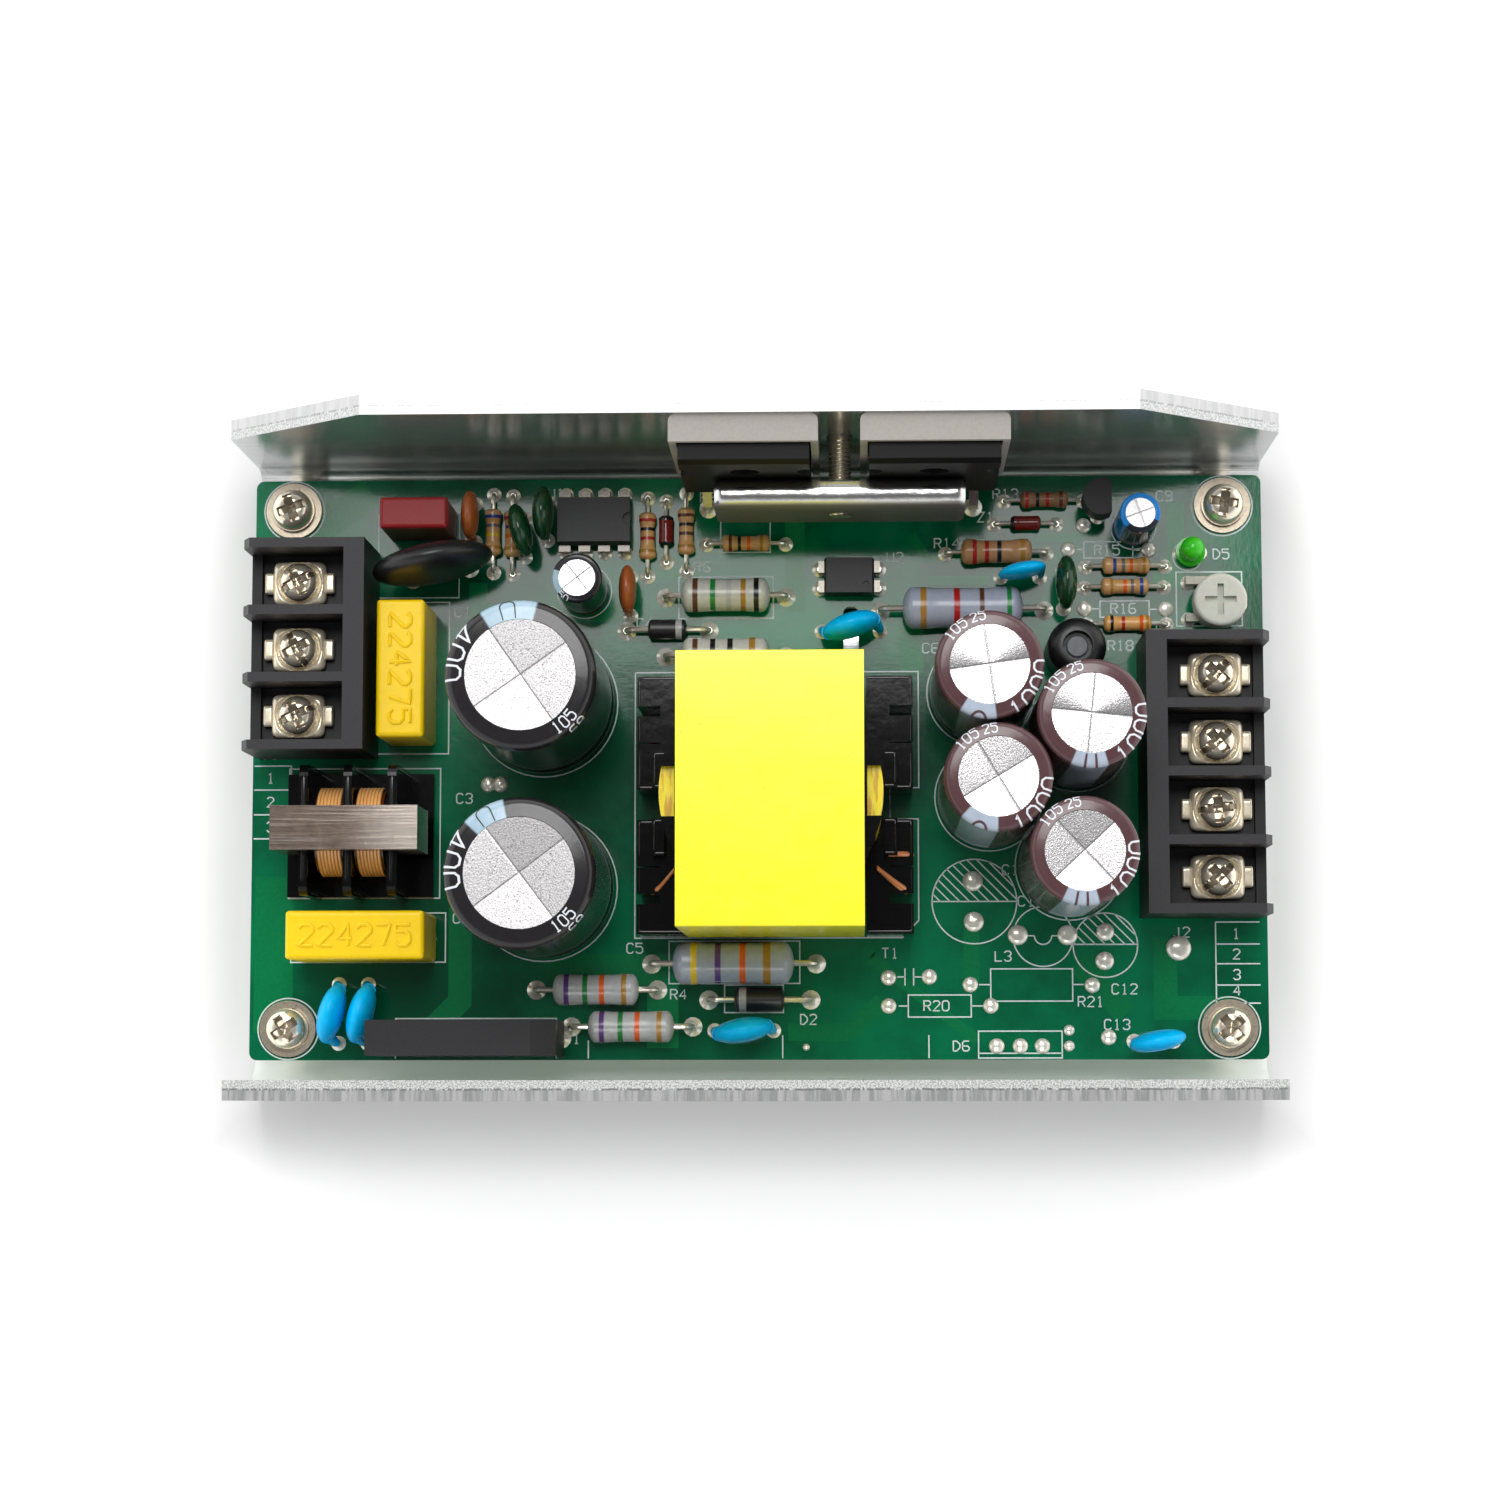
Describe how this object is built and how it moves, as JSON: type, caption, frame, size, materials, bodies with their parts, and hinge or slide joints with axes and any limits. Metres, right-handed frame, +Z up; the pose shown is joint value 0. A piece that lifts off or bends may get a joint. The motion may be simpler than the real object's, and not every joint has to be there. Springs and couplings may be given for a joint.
{
  "type": "open-frame switching power supply",
  "caption": "Open-frame mains switching power supply: a populated board on standoffs in a folded aluminium U-bracket, with screw terminals and an output trimmer.",
  "frame": {"origin": "centre of the bracket's flat underside", "axes": "+X along the board from the input to the output terminals, +Y towards the flange that cools the power devices, +Z up from the bracket"},
  "size_m": [0.131, 0.0871, 0.045],
  "materials": {
    "bracket_aluminium": "mill finish with sheared edges",
    "board_green": "solder mask with white print",
    "fixing_steel": "plated",
    "clamp_steel": "bright plated",
    "package_black": "moulded epoxy",
    "silicone_grey": "matt silicone",
    "terminal_charcoal": "moulded",
    "contact_tin": "tin plated",
    "box_yellow": "moulded case",
    "ferrite_grey": "ground ferrite",
    "bobbin_black": "moulded",
    "copper": "enamelled wire",
    "film_red": "dipped",
    "thermistor_coat": "dipped",
    "bridge_grey": "moulded epoxy",
    "sleeve_black": "shrunk sleeve",
    "tape_yellow": "polyester tape",
    "sleeve_brown": "shrunk sleeve",
    "sleeve_blue": "shrunk sleeve",
    "lamp_green": "clear tinted",
    "trimmer_base": "moulded",
    "rotor_white": "moulded, slightly clear",
    "disc_blue": "dipped",
    "disc_brown": "dipped",
    "film_green": "dipped",
    "resistor_blue": "lacquered with colour bands",
    "resistor_grey": "lacquered with colour bands",
    "resistor_tan": "lacquered with colour bands",
    "diode_black": "moulded with a white band",
    "diode_glass": "sealed glass with a dark band"
  },
  "bodies": {
    "supply": {"bracket": "bracket_aluminium", "circuit_board": "board_green", "board_standoffs": "fixing_steel", "board_screws": "fixing_steel", "spring_washers": "fixing_steel", "flat_washers": "fixing_steel", "clamp_bar": "clamp_steel", "clamp_screw": "fixing_steel", "power_transistor": "package_black", "output_rectifier": "package_black", "transistor_cap": "silicone_grey", "rectifier_cap": "silicone_grey", "input_terminal_body": "terminal_charcoal", "output_terminal_body": "terminal_charcoal", "terminal_contacts": "contact_tin", "terminal_clamps": "contact_tin", "terminal_screws": "fixing_steel", "line_capacitor_1": "box_yellow", "line_capacitor_2": "box_yellow", "choke_core": "ferrite_grey", "choke_bobbin": "bobbin_black", "choke_windings": "copper", "film_capacitor": "film_red", "inrush_thermistor": "thermistor_coat", "bridge_rectifier": "bridge_grey", "bulk_capacitor_1": "sleeve_black", "bulk_capacitor_2": "sleeve_black", "transformer_bobbin": "bobbin_black", "transformer_core": "ferrite_grey", "transformer_winding": "tape_yellow", "transformer_tape": "tape_yellow", "output_capacitor_1": "sleeve_brown", "output_capacitor_2": "sleeve_brown", "output_capacitor_3": "sleeve_brown", "output_capacitor_4": "sleeve_brown", "output_choke": "sleeve_black", "supply_capacitor": "sleeve_black", "feedback_capacitor": "sleeve_blue", "controller_chip": "package_black", "optocoupler": "package_black", "shunt_regulator": "package_black", "indicator_lamp": "lamp_green", "trimmer_body": "trimmer_base", "line_disc_capacitors": "disc_blue", "barrier_disc_capacitor": "disc_blue", "snubber_disc_capacitor": "disc_blue", "output_disc_capacitor": "disc_blue", "filter_disc_capacitor": "disc_blue", "brown_disc_capacitors": "disc_brown", "green_film_capacitors": "film_green", "three_watt_resistors": "resistor_blue", "two_watt_resistors": "resistor_grey", "bleed_resistors": "resistor_grey", "one_watt_resistor": "resistor_tan", "small_resistors": "resistor_tan", "power_diodes": "diode_black", "glass_diodes": "diode_glass"},
    "rotor": {"trimmer_rotor": "rotor_white"}
  },
  "joints": [
    {"name": "trimmer_turn", "type": "hinge", "parent": "supply", "child": "rotor", "pos_m": [0.0591, 0.0206, 0.0136], "axis": [0, 0, 1], "range_deg": [-105, 105]}
  ]
}
